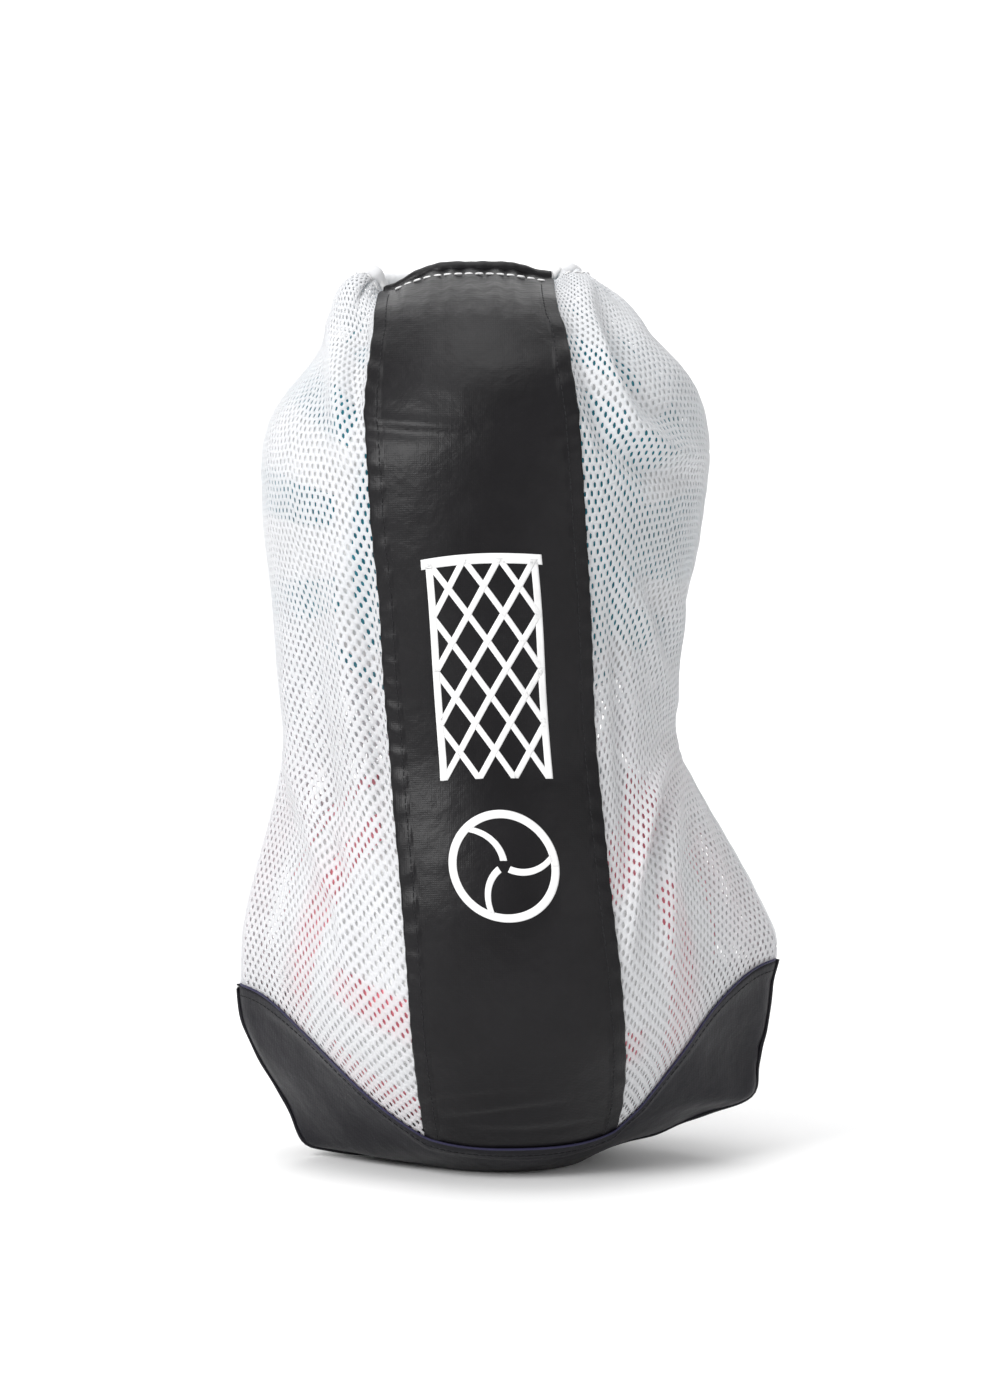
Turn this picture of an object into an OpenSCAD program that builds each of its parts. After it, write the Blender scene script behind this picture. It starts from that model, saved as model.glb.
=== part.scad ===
// Mesh ball bag standing upright with two balls inside.
// Front faces -Y, +X is to the right seen from the front, the bag rests on z = 0.

/* [Balls] */
// Outer diameter of each ball
ball_d = 220; // [215:1:223]
// Thickness of the ball cover with its winding
cover_t = 2; // [1.5:0.5:4]
// Thickness of the bladder wall
bladder_t = 0.8; // [0.6:0.1:2]
// Outer diameter of the valve plug
valve_d = 11; // [8:1:14]

/* [Cloth] */
// Thickness of the mesh, the panel and the base cloth
cloth_t = 1.2; // [0.8:0.1:1.4]
// Thickness of the turned-in side seams
seam_t = 0.8; // [0.5:0.1:0.9]
// Width of the turned-in side seams
seam_w = 7; // [4:0.5:8]
// Radius of the flat sole under the lower ball
sole_r = 43.2; // [36:0.1:43.3]

/* [Mouth] */
// Outer diameter of the rolled hem around the mouth
hem_d = 8; // [7.5:0.5:9]
// Wall thickness of the rolled hem
hem_wall = 1.1; // [0.8:0.1:1.3]
// Diameter of the drawcord
cord_d = 4; // [3:0.5:4.5]
// Length of one hem stitch
stitch_l = 3.6; // [2.5:0.1:4]

/* [Cord lock] */
// Outer diameter of the barrel
lock_d = 14; // [13:0.5:15]
// Length of the barrel
lock_l = 22; // [18:0.5:24]
// Diameter of the plunger
plunger_d = 9.6; // [9:0.1:10]
// Length of the plunger
plunger_l = 19.5; // [18:0.5:22]
// Travel of the plunger when it is pressed
plunger_travel = 3.5; // [2:0.5:4]

/* [Hidden] */

$fn = 96;
ball_r = ball_d / 2;
lower_c = [-5, -12, ball_r + 1.5];
// The upper ball sits a little left of and behind the lower one, 0.6 mm clear of it.
upper_shift = [-8.5, 26];
upper_c = lower_c + [upper_shift[0], upper_shift[1],
  sqrt(pow(ball_d + 0.6, 2) - pow(upper_shift[0], 2) - pow(upper_shift[1], 2))];

// The bag's outline at chosen heights. Columns: rise along the bag, height of the front
// and of the back of the ring, left, right, front and back extents, centre, squareness,
// and the left and right edges of the front panel.
STATIONS = [
  [0,   0,   0,   -49,    39,  -56,    32,    -5,    2,   -30, 25],
  [5,   5,   5,   -103,   48,  -68,    44,    -5,    2,   -38, 36],
  [12,  12,  12,  -108,   70,  -79,    55,    -5,    2,   -40, 50],
  [26,  26,  26,  -114,   108, -92,    68,    -5,    2,   -41, 54],
  [34,  34,  34,  -118,   127, -98,    74,    -5,    2,   -42, 56],
  [55,  55,  55,  -129,   127, -111.2, 87.2,  -5,    2,   -44, 56],
  [80,  80,  80,  -137,   132, -121.2, 97.2,  -5,    2,   -46, 55],
  [110, 110, 110, -137,   138, -125.4, 101.4, -5,    2,   -48, 53],
  [135, 135, 135, -133,   127, -124.2, 101,   -5,    2,   -50, 50],
  [160, 160, 160, -125,   113, -118,   99.5,   -7,    2,   -52, 47],
  [190, 190, 190, -118,   95,  -109,   97,    -10,   2,   -55, 44],
  [215, 215, 215, -114,   84,  -104,   98,    -13,   2,   -57, 42],
  [250, 250, 250, -118,   86,  -101,   106,   -15,   2,   -60, 40],
  [290, 290, 290, -123,   94,  -100,   121.5, -14.5, 2,   -62, 38],
  [330, 330, 330, -127.5, 100, -99,    127,   -13.5, 2,   -66, 36],
  [360, 360, 360, -126,   102, -95.5,  124,   -12,   2,   -68, 34],
  [385, 385, 385, -117,   98,  -86,    115,   -9.5,  2,   -70, 32],
  [403, 403, 397, -105,   91,  -76,    106,   -7,    2,   -69, 29],
  [420, 420, 408, -95,    75,  -60,    97,    -10,   2,   -67, 27],
  [434, 434, 419, -89,    64,  -42,    86,    -12.5, 2,   -66, 23],
  [443, 442, 428, -84,    55,  -20,    73,    -14.5, 2,   -66, 22],
  [450, 448, 436, -80,    45,  2,      60,    -17.5, 2.2, -65, 22],
  [456, 450, 442, -74,    34,  16,     46,    -20,   2.7, -62, 20]
];
function column(c) = [for (s = STATIONS) [s[0], s[c]]];
TABLES = [for (c = [0:10]) column(c)];
function at(c, h) = lookup(h, TABLES[c]);

// Columns of the cloth grid: right seam, panel right edge, panel left edge, left seam, back.
col_panel_r = 8;
col_panel_l = 16;
col_seam_l = 24;
cols = 48;
lip_col_a = 30;
lip_col_b = 42;
// Rows of the cloth grid: floor, base seam, shoulder, mouth.
row_seam = 6;
row_shoulder = 26;
shoulder_rise = 403;
CROWN_RISES = [[26, 403], [27, 412], [28, 422], [29, 434], [30, 443], [31, 450], [32, 456]];
rows = 32;
// The cloth ends just outside the rolled hem.
cloth_end = rows - 0.55;
lip_row = 27;
seam_low = 15;
seam_rise_l = 72;
seam_rise_r = 85;

function lerp(a, b, t) = a + (b - a) * t;
function signed_pow(v, e) = sign(v) * pow(abs(v), e);
// Up to the waist a side that reaches past the round body ends in a point, with straight
// cloth from the point on to the body; above the waist a ring is an oval.
waist_rise = 215;
function side_reach(a, h) = cos(a) > 0 ? at(4, h) - at(7, h) : at(7, h) - at(3, h);
function round_reach(h) = (at(6, h) - at(5, h)) / 2;
function pointed_reach(a, h) =
  let (side = side_reach(a, h), r = round_reach(h), f = acos(abs(cos(a))),
       past = side > r ? acos(r / side) : 0)
  side > r ? (f < past ? r / cos(past - f) : r)
  : pow(pow(cos(f) / side, 2) + pow(sin(f) / r, 2), -1 / 2);
function ring_offset(a, h) = h < waist_rise
  ? pointed_reach(a, h) * [cos(a), sin(a)]
  : let (e = 2 / at(8, h))
    [side_reach(a, h) * signed_pow(cos(a), e), round_reach(h) * signed_pow(sin(a), e)];
// Angle at which the front of the ring at rise h reaches x, found by repeated aim.
function front_angle(x, h, a = -90, left = 6) =
  let (dx = x - at(7, h))
  h >= waist_rise ? -acos(signed_pow(dx / side_reach(sign(dx) * 90 - 90, h), at(8, h) / 2))
  : left == 0 ? a
  : front_angle(x, h, -acos(max(-1, min(1, dx / pointed_reach(a, h)))), left - 1);
function col_angle(j, ar, al) =
  j <= col_panel_r ? lerp(0, ar, j / col_panel_r)
  : j <= col_panel_l ? lerp(ar, al, (j - col_panel_r) / (col_panel_l - col_panel_r))
  : j <= col_seam_l ? lerp(al, -180, (j - col_panel_l) / (col_seam_l - col_panel_l))
  : -180 - (j - col_seam_l) * 180 / (cols - col_seam_l);
// Height of the seam between base and mesh: low at front and back, high at the two ears.
function seam_height(j) =
  let (c = cos(col_angle(j, -66, -114)))
  seam_low + (c < 0 ? seam_rise_l : seam_rise_r) * pow(abs(c), 3);
function rise(i, j) =
  i <= row_seam ? seam_height(j) * pow(max(i, 0) / row_seam, 1.6)
  : i <= row_shoulder ? lerp(seam_height(j), shoulder_rise, (i - row_seam) / (row_shoulder - row_seam))
  : lookup(i, CROWN_RISES);
// Point of the bag's outer surface at grid row i and column j, both may be fractions.
function cloth_point(i, j) =
  let (h = rise(i, j), a = col_angle(j, front_angle(at(10, h), h), front_angle(at(9, h), h)),
       yf = at(5, h), yb = at(6, h), o = ring_offset(a, h), y = (yf + yb) / 2 + o[1])
  [at(7, h) + o[0], y, lerp(at(1, h), at(2, h), (y - yf) / (yb - yf))];
function unit(v) = v / max(norm(v), 1e-9);
function wrap_point(i, j) = cloth_point(i, j < 0 ? j + cols : j > cols ? j - cols : j);
function cloth_normal(i, j) =
  unit(cross(wrap_point(i, j - 0.5) - wrap_point(i, j + 0.5),
             wrap_point(min(i + 0.5, rows), j) - wrap_point(max(i - 0.5, 0), j)));

// A closed shell over the cells of a row list and a column list. Each cell is kept where
// the notch, a [row, first column, last column] above which cells are left out, allows it.
module cloth_patch(row_list, col_list, notch = [999, 0, 0]) {
  nr = len(row_list);
  nc = len(col_list);
  outer = [for (i = row_list) for (j = col_list) cloth_point(i, j)];
  inner = [for (i = row_list) for (j = col_list) cloth_point(i, j) - cloth_t * cloth_normal(i, j)];
  n = nr * nc;
  function id(r, c) = r * nc + c;
  function kept(r, c) = r >= 0 && r < nr - 1 && c >= 0 && c < nc - 1
    && !(row_list[r] >= notch[0] && col_list[c] >= notch[1] && col_list[c] < notch[2]);
  function wall(a, b) = [[a, b, b + n], [a, b + n, a + n]];
  faces = [for (r = [0:nr - 2]) for (c = [0:nc - 2]) if (kept(r, c))
    let (p = id(r, c), q = id(r, c + 1), s = id(r + 1, c + 1), t = id(r + 1, c))
    each concat(
      [[p, q, s], [p, s, t], [p + n, s + n, q + n], [p + n, t + n, s + n]],
      kept(r - 1, c) ? [] : wall(q, p), kept(r + 1, c) ? [] : wall(t, s),
      kept(r, c - 1) ? [] : wall(p, t), kept(r, c + 1) ? [] : wall(s, q))];
  polyhedron(concat(outer, inner), faces, convexity = 8);
}
function span(a, b) = [for (k = [a:b]) k];

mesh_rows = [each span(row_seam, rows - 1), cloth_end];

module front_panel() color([0.13, 0.13, 0.14])
  cloth_patch(mesh_rows, span(col_panel_r, col_panel_l));
module front_left_mesh() color([0.95, 0.95, 0.96])
  cloth_patch(mesh_rows, span(col_panel_l, col_seam_l));
module front_right_mesh() color([0.9, 0.9, 0.89])
  cloth_patch(mesh_rows, span(0, col_panel_r));
module back_mesh() color([0.93, 0.93, 0.93])
  cloth_patch(mesh_rows, span(col_seam_l, cols), [lip_row, lip_col_a, lip_col_b]);
module base_front() color([0.16, 0.16, 0.2])
  cloth_patch(span(0, row_seam), span(0, col_seam_l));
module base_back() color([0.16, 0.16, 0.2])
  cloth_patch(span(0, row_seam), span(col_seam_l, cols));
// The lip is trimmed a little at its edges so that it swings free of the cloth around it.
trim = 0.08;
module back_lip_mesh() color([0.93, 0.93, 0.93])
  cloth_patch([lip_row + trim, each span(lip_row + 1, rows - 1), cloth_end],
    [lip_col_a + trim, each span(lip_col_a + 1, lip_col_b - 1), lip_col_b - trim]);

// The part of the base that the lower ball presses flat on the floor.
module base_sole() color([0.16, 0.16, 0.2])
  translate([lower_c[0], lower_c[1], 0]) cylinder(r = sole_r, h = cloth_t);

// A closed tube swept along points, with round sections; wall > 0 makes it hollow.
module tube(path, r, wall = 0, sides = 8) {
  n = len(path);
  function along(k) = unit(path[min(k + 1, n - 1)] - path[max(k - 1, 0)]);
  function side(k) = unit(cross(along(k), [0, 0, 1]));
  function ring(k, rr) = let (s = side(k), u = cross(s, along(k)))
    [for (a = [0:sides - 1]) path[k] + rr * (cos(a * 360 / sides) * s + sin(a * 360 / sides) * u)];
  outer = [for (k = [0:n - 1]) each ring(k, r)];
  inner = wall > 0 ? [for (k = [0:n - 1]) each ring(k, r - wall)] : [];
  m = n * sides;
  last = (n - 1) * sides;
  skin = [for (k = [0:n - 2]) for (a = [0:sides - 1])
    let (p = k * sides + a, q = k * sides + (a + 1) % sides)
    each [[p, p + sides, q + sides], [p, q + sides, q]]];
  bore = wall > 0 ? [for (f = skin) [f[2] + m, f[1] + m, f[0] + m]] : [];
  ends = wall > 0
    ? [for (a = [0:sides - 1]) let (b = (a + 1) % sides)
        each [[a, b, b + m], [a, b + m, a + m],
              [last + b, last + a, last + a + m], [last + b, last + a + m, last + b + m]]]
    : [[for (a = [0:sides - 1]) a], [for (a = [sides - 1:-1:0]) last + a]];
  polyhedron(concat(outer, inner), concat(skin, bore, ends), convexity = 8);
}

// A turned-in seam allowance that hangs inside the pointed part of one side.
module side_seam(j, inward) color([0.85, 0.85, 0.86]) {
  tip_gap = 3;
  steps = [for (i = [3:0.5:11]) cloth_point(i, j)];
  n = len(steps);
  pts = [for (p = steps) each [for (c = [[0, -1], [1, -1], [1, 1], [0, 1]])
    p + [inward * (tip_gap + c[0] * seam_w), c[1] * seam_t / 2, 0]]];
  faces = concat(
    [for (k = [0:n - 2]) for (s = [0:3]) let (a = 4 * k + s, b = 4 * k + (s + 1) % 4)
      each [[a, a + 4, b + 4], [a, b + 4, b]]],
    [[0, 1, 2, 3], [4 * n - 1, 4 * n - 2, 4 * n - 3, 4 * n - 4]]);
  polyhedron(pts, inward > 0 ? faces : [for (f = faces) [for (k = [len(f) - 1:-1:0]) f[k]]]);
}
module left_side_seam() side_seam(col_seam_l, 1);
module right_side_seam() side_seam(0, -1);

// Points of the mouth's rim, where the rolled hem and the cord in it run.
function rim_path(a, b, count) = [for (k = [0:count]) wrap_point(rows, lerp(a, b, k / count))];
module rolled_hem(a, b, count) tube(rim_path(a, b, count), hem_d / 2, hem_wall);
module front_hem() color([0.13, 0.13, 0.14]) rolled_hem(col_panel_r + trim, col_panel_l - trim, 8);
module left_hem() color([0.95, 0.95, 0.96]) rolled_hem(col_panel_l, lip_col_a, 14);
module right_hem() color([0.9, 0.9, 0.89]) rolled_hem(lip_col_b, cols + col_panel_r, 14);
module back_hem() color([0.93, 0.93, 0.93]) rolled_hem(lip_col_a + trim, lip_col_b - trim, 12);

// White stitches across the panel below the hem, each lying on the cloth.
stitch_row = rows - 1.1;
stitch_count = 15;
stitch_w = 0.6;
stitch_lift = 0.35;
module hem_stitches() color("white")
  for (k = [0:stitch_count - 1])
    let (j = col_panel_r + 0.5 + k * (col_panel_l - col_panel_r - 1) / (stitch_count - 1),
         p = cloth_point(stitch_row, j), v = cloth_point(stitch_row, j - 0.2) - p)
      translate(p + stitch_lift * cloth_normal(stitch_row, j))
        rotate([0, -asin(unit(v)[2]), atan2(v[1], v[0])])
          cube([stitch_l, stitch_w, stitch_w], center = true);

// Frame of the cord lock: y runs back down the cloth from the rim, z stands off it.
lock_tilt = -30;
lock_y = 22;
lock_z = 9.5;
cord_gap = 4.3;
lock_origin = cloth_point(rows, (lip_col_a + lip_col_b) / 2);
function lock_frame(p) = let (c = cos(lock_tilt), s = sin(lock_tilt))
  lock_origin + [p[0], p[1] * c - p[2] * s, p[1] * s + p[2] * c];
module in_lock_frame() translate(lock_origin) rotate([lock_tilt, 0, 0]) children();

// The drawcord runs inside the hem all the way round; both ends leave it through the
// eyelets at the back, pass the lock and end in one knot.
module drawcord_front() color([0.9, 0.9, 0.9])
  tube(rim_path(lip_col_b + 2 * trim, cols + lip_col_a - 2 * trim, 72), cord_d / 2);
module cord_run(side) {
  mid = (lip_col_a + lip_col_b) / 2;
  hidden = [for (k = [0:0.5:4]) cloth_point(rows, mid - side * (lip_col_b - mid - 2 * trim - k))];
  free = [[-5, 1, 0.4], [-3.8, 5, 1], [-3, 9, 4], [-2.4, 13, 7.6], [-2.15, 17, 9.3],
          [-2.15, 22, 9.5], [-2.15, 30, 9.5]];
  tube(concat(hidden, [for (p = free) lock_frame([side * p[0], p[1], p[2]])]), cord_d / 2);
}
module drawcord_back() color([0.9, 0.9, 0.9]) {
  cord_run(1);
  cord_run(-1);
}
knot_d = 9;
knot_y = 34.3;
module cord_knot() color([0.9, 0.9, 0.9]) in_lock_frame()
  translate([0, knot_y, lock_z]) sphere(d = knot_d);
eyelet_at = [4.1, 4.4, 0.8];
eyelet_bore_r = 2.3;
eyelet_rim = 1.6;
eyelet_t = 1;
module cord_eyelets() color([0.7, 0.7, 0.72]) in_lock_frame()
  for (s = [-1, 1]) translate([s * eyelet_at[0], eyelet_at[1], eyelet_at[2]]) rotate([-90, 0, 0])
    rotate_extrude() translate([eyelet_bore_r, 0]) square([eyelet_rim, eyelet_t]);

// Along the lock: closed end of the barrel, its bottom, then the spring, then the plunger.
barrel_left = -13;
barrel_wall = 1.6;
spring_l = 5;
slide_gap = 0.3;
slot_half = 2.2;
module along_lock(x) in_lock_frame() translate([x, lock_y, lock_z]) children();
module rod(d, l) rotate([0, 90, 0]) cylinder(d = d, h = l);
module cross_slot(from_x, to_x) {
  for (x = [from_x, to_x]) translate([x, 0, 0]) rotate([90, 0, 0])
    cylinder(d = cord_gap, h = lock_d + 2, center = true);
  translate([from_x, -lock_d / 2 - 1, -cord_gap / 2]) cube([to_x - from_x, lock_d + 2, cord_gap]);
}
module cord_lock_barrel() color([0.1, 0.1, 0.1]) along_lock(0)
  difference() {
    translate([barrel_left, 0, 0]) rod(lock_d, lock_l);
    translate([barrel_left + barrel_wall, 0, 0]) rod(plunger_d + slide_gap, lock_l);
    cross_slot(-slot_half, slot_half);
  }
plunger_start = barrel_left + barrel_wall + spring_l;
module cord_lock_plunger() color([0.12, 0.12, 0.12]) along_lock(0)
  difference() {
    translate([plunger_start, 0, 0]) rod(plunger_d, plunger_l);
    cross_slot(-slot_half - slide_gap / 3, slot_half + plunger_travel);
  }
spring_turns = 3.5;
spring_steps = 14;
spring_r = 3.4;
wire_r = 0.4;
module cord_lock_spring() color([0.75, 0.75, 0.78]) along_lock(barrel_left + barrel_wall + 0.5)
  tube([for (k = [0:spring_steps * spring_turns]) let (turn = k / spring_steps)
    [turn / spring_turns * (spring_l - 1), spring_r * cos(turn * 360), spring_r * sin(turn * 360)]],
    wire_r, 0, 6);

// A ball is a cover, a bladder inside it and a rubber valve plug through the cover.
bladder_gap = 0.2;
needle_d = 1.6;
module at_valve(c, turn) translate(c) rotate([0, 62, turn]) children();
module ball_cover(c, turn) difference() {
  translate(c) sphere(r = ball_r);
  translate(c) sphere(r = ball_r - cover_t);
  at_valve(c, turn) cylinder(d = valve_d, h = ball_r + 1);
}
module ball_bladder(c) translate(c) difference() {
  sphere(r = ball_r - cover_t - bladder_gap);
  sphere(r = ball_r - cover_t - bladder_gap - bladder_t);
}
module ball_valve(c, turn) at_valve(c, turn) difference() {
  translate([0, 0, ball_r - cover_t + 0.1]) cylinder(d = valve_d - 0.2, h = cover_t - 0.5);
  translate([0, 0, ball_r - cover_t - 1]) cylinder(d = needle_d, h = cover_t + 2);
}
module upper_ball_cover() color([0.3, 0.66, 0.7]) ball_cover(upper_c, 60);
module upper_ball_bladder() color([0.15, 0.15, 0.15]) ball_bladder(upper_c);
module upper_ball_valve() color([0.1, 0.1, 0.1]) ball_valve(upper_c, 60);
module lower_ball_cover() color([0.95, 0.6, 0.62]) ball_cover(lower_c, 140);
module lower_ball_bladder() color([0.15, 0.15, 0.15]) ball_bladder(lower_c);
module lower_ball_valve() color([0.1, 0.1, 0.1]) ball_valve(lower_c, 140);

front_panel();
front_left_mesh();
front_right_mesh();
back_mesh();
left_side_seam();
right_side_seam();
base_front();
base_back();
base_sole();
front_hem();
left_hem();
right_hem();
hem_stitches();
drawcord_front();
back_lip_mesh();
back_hem();
drawcord_back();
cord_eyelets();
cord_lock_barrel();
cord_lock_spring();
cord_knot();
cord_lock_plunger();
upper_ball_cover();
upper_ball_bladder();
upper_ball_valve();
lower_ball_cover();
lower_ball_bladder();
lower_ball_valve();
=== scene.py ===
import math

import bpy
import numpy as np
from mathutils import Euler, Matrix, Vector


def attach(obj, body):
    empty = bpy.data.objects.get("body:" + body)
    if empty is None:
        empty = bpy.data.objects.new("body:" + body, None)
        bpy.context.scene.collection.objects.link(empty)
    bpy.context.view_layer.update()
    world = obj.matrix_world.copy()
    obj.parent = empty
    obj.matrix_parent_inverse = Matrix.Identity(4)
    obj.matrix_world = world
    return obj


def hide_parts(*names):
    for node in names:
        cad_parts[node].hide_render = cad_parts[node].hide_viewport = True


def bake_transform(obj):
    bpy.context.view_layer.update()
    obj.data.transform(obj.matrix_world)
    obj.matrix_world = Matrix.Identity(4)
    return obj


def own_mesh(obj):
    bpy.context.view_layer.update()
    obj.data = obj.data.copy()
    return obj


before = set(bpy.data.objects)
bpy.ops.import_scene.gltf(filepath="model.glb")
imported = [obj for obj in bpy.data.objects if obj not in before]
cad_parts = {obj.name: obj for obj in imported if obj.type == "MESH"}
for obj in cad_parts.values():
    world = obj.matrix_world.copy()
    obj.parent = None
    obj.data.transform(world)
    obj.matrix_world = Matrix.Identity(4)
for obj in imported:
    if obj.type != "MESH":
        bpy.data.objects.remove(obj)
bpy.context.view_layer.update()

MM = 0.001

# ---------------------------------------------------------------- camera and stage
AIM = Vector((-0.003, 0.0, 0.234))
DISTANCE = 3.2
ELEVATION = math.radians(6.0)
VIEW_HEIGHT = 0.708
SENSOR = 36.0


def make_camera():
    data = bpy.data.cameras.new("camera")
    data.sensor_width = SENSOR
    data.lens = SENSOR * DISTANCE / VIEW_HEIGHT
    cam = bpy.data.objects.new("camera", data)
    bpy.context.scene.collection.objects.link(cam)
    cam.location = AIM + DISTANCE * Vector((0, -math.cos(ELEVATION), math.sin(ELEVATION)))
    cam.rotation_euler = (AIM - cam.location).to_track_quat("-Z", "Y").to_euler()
    bpy.context.scene.camera = cam


# ---------------------------------------------------------------- the bag's cloth surface
# Rows of the outline, in millimetres: rise along the bag, height of the ring's front and
# back, left, right, front and back extents, centre, squareness, panel left and right edges.
STATIONS = np.array([
    [0, 0.4, 0.4, -49, 39, -56, 32, -5, 2, -30, 25],
    [5, 5, 5, -104, 48, -67, 43, -5, 2, -38, 36],
    [12, 12, 12, -109, 72, -78, 54, -5, 2, -40, 50],
    [26, 26, 26, -114, 109, -91, 67, -5, 2, -41, 53],
    [34, 34, 34, -118, 127, -97, 73, -5, 2, -42, 55],
    [55, 55, 55, -128, 129, -110, 86, -5, 2, -44, 56],
    [80, 80, 80, -137, 132, -120, 96, -5, 2, -46, 55],
    [110, 110, 110, -137, 137, -123.5, 99.5, -5, 2, -48, 53],
    [135, 135, 135, -133, 127, -122, 99, -5, 2, -50, 50],
    [160, 160, 160, -126, 113, -116.5, 97.5, -7, 2, -52, 47],
    [190, 190, 190, -118, 95, -108, 95, -10, 2, -55, 44],
    [215, 215, 215, -114, 83, -102, 96, -13, 2, -57, 42],
    [250, 250, 250, -118, 85, -99, 103, -15, 2, -60, 40],
    [290, 290, 290, -121, 90, -99, 118, -14.5, 2, -62, 38],
    [330, 330, 330, -125.5, 98.5, -98, 125.5, -13.5, 2, -66, 36],
    [360, 360, 360, -126, 102, -95, 122.5, -12, 2, -68, 34],
    [385, 385, 385, -118, 98, -86, 114, -9.5, 2, -70, 32],
    [403, 403, 397, -104, 90, -76, 105, -7, 2, -69, 29],
    [420, 420, 408, -94, 74, -60, 96, -10, 2, -67, 27],
    [434, 434, 419, -89, 64, -42, 85, -12.5, 2, -66, 23],
    [443, 442, 428, -85, 55, -20, 72, -14.5, 2, -66, 22],
    [450, 448, 436, -80, 45, 2, 59, -17.5, 2.2, -65, 22],
    [456, 451, 442, -74, 34, 16, 46, -20, 2.7, -62, 20],
], float)
RISE, Z_FRONT, Z_BACK, LEFT, RIGHT, FRONT, BACK, CENTRE, SQUARE, PANEL_L, PANEL_R = range(11)
CROWN = np.array([[26, 403], [27, 412], [28, 422], [29, 434], [30, 443], [31, 450], [32, 456]], float)
ROW_SEAM, ROW_SHOULDER, ROWS = 6, 26, 32
COL_PANEL_R, COL_PANEL_L, COL_SEAM_L, COLS = 8, 16, 24, 48
SEAM_LOW, SEAM_RISE_L, SEAM_RISE_R = 15.0, 72.0, 85.0
WAIST = 215.0
STEPS = 8                       # grid points for each row or column step

BALL_R = 110.0
LOWER = np.array([-5.0, -12.0, BALL_R + 1.5])
UPPER = LOWER + np.array([-8.5, 26.0, math.sqrt((2 * BALL_R + 0.6) ** 2 - 8.5 ** 2 - 26.0 ** 2)])


def smooth_table():
    """The outline's columns at every millimetre of rise, on a monotone cubic."""
    x = STATIONS[:, RISE]
    xs = np.arange(0, x[-1] + 0.5, 1.0)
    out = [xs]
    for c in range(1, STATIONS.shape[1]):
        y = STATIONS[:, c]
        h, d = np.diff(x), np.diff(y) / np.diff(x)
        m = np.zeros_like(y)
        m[0], m[-1] = d[0], d[-1]
        for k in range(1, len(y) - 1):
            if d[k - 1] * d[k] > 0:
                w1, w2 = 2 * h[k] + h[k - 1], h[k] + 2 * h[k - 1]
                m[k] = (w1 + w2) / (w1 / d[k - 1] + w2 / d[k])
        k = np.clip(np.searchsorted(x, xs, side="right") - 1, 0, len(x) - 2)
        t = (xs - x[k]) / h[k]
        out.append(y[k] * (1 + 2 * t) * (1 - t) ** 2 + m[k] * h[k] * t * (1 - t) ** 2
                   + y[k + 1] * t * t * (3 - 2 * t) + m[k + 1] * h[k] * t * t * (t - 1))
    return np.array(out)


TABLE = smooth_table()


def at(c, h):
    """The outline's column c at rise h."""
    return np.interp(h, TABLE[RISE], TABLE[c])


def run_length(path):
    """Distance along a path, point by point."""
    return np.concatenate([[0], np.cumsum(np.linalg.norm(np.diff(path, axis=0), axis=1))])


def read_off(where, s, values):
    """Values known at distances s, read off at other distances."""
    return np.stack([np.interp(where, s, values[:, c]) for c in range(values.shape[1])], -1)


def even_path(path, count):
    """A path's points, and whatever follows their first three values, evenly spaced."""
    s = run_length(path[:, :3])
    return read_off(np.linspace(0, s[-1], count + 1), s, path)


def unit(v):
    return v / np.linalg.norm(v, axis=-1, keepdims=True)


def signed_pow(v, e):
    return np.sign(v) * np.abs(v) ** e


def side_reach(a, h):
    return np.where(np.cos(a) > 0, at(RIGHT, h) - at(CENTRE, h), at(CENTRE, h) - at(LEFT, h))


def round_reach(h):
    return (at(BACK, h) - at(FRONT, h)) / 2


def pointed_reach(a, h):
    """Reach at angle a below the waist, where the bag runs out to an ear at each side."""
    side, r = side_reach(a, h), round_reach(h)
    f = np.arccos(np.clip(np.abs(np.cos(a)), 0, 1))
    past = np.arccos(np.clip(r / side, 0, 1))
    oval = ((np.cos(f) / side) ** 2 + (np.sin(f) / r) ** 2) ** -0.5
    tent = np.where(f < past, r / np.maximum(np.cos(past - f), 1e-6), r)
    return np.where(side > r, tent, oval)


def front_angle(x, h):
    """Angle at which the front of the ring at rise h is at x."""
    dx = x - at(CENTRE, h)
    side = side_reach(np.where(dx > 0, 0.0, np.pi), h)
    high = -np.arccos(np.clip(signed_pow(dx / side, at(SQUARE, h) / 2), -1, 1))
    low = np.full_like(high, -np.pi / 2)
    for _ in range(6):
        low = -np.arccos(np.clip(dx / pointed_reach(low, h), -1, 1))
    return np.where(h < WAIST, low, high)


def col_angle(j, right, left):
    """Angle of column j round the bag, when the panel's edges are at angles right and left."""
    return np.where(
        j <= COL_PANEL_R, right * j / COL_PANEL_R,
        np.where(j <= COL_PANEL_L,
                 right + (left - right) * (j - COL_PANEL_R) / (COL_PANEL_L - COL_PANEL_R),
                 np.where(j <= COL_SEAM_L,
                          left - (np.pi + left) * (j - COL_PANEL_L) / (COL_SEAM_L - COL_PANEL_L),
                          -np.pi - (j - COL_SEAM_L) * np.pi / (COLS - COL_SEAM_L))))


def seam_height(j):
    """Height of the base's top edge, which climbs to the ears."""
    c = np.cos(col_angle(j, math.radians(-66), math.radians(-114)))
    return SEAM_LOW + np.where(c < 0, SEAM_RISE_L, SEAM_RISE_R) * np.abs(c) ** 3


def rise_at(i, j):
    seam = seam_height(j)
    low = seam * (np.maximum(i, 0) / ROW_SEAM) ** 1.6
    mid = seam + (CROWN[0, 1] - seam) * (i - ROW_SEAM) / (ROW_SHOULDER - ROW_SEAM)
    high = np.interp(i, CROWN[:, 0], CROWN[:, 1])
    return np.where(i <= ROW_SEAM, low, np.where(i <= ROW_SHOULDER, mid, high))


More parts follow.
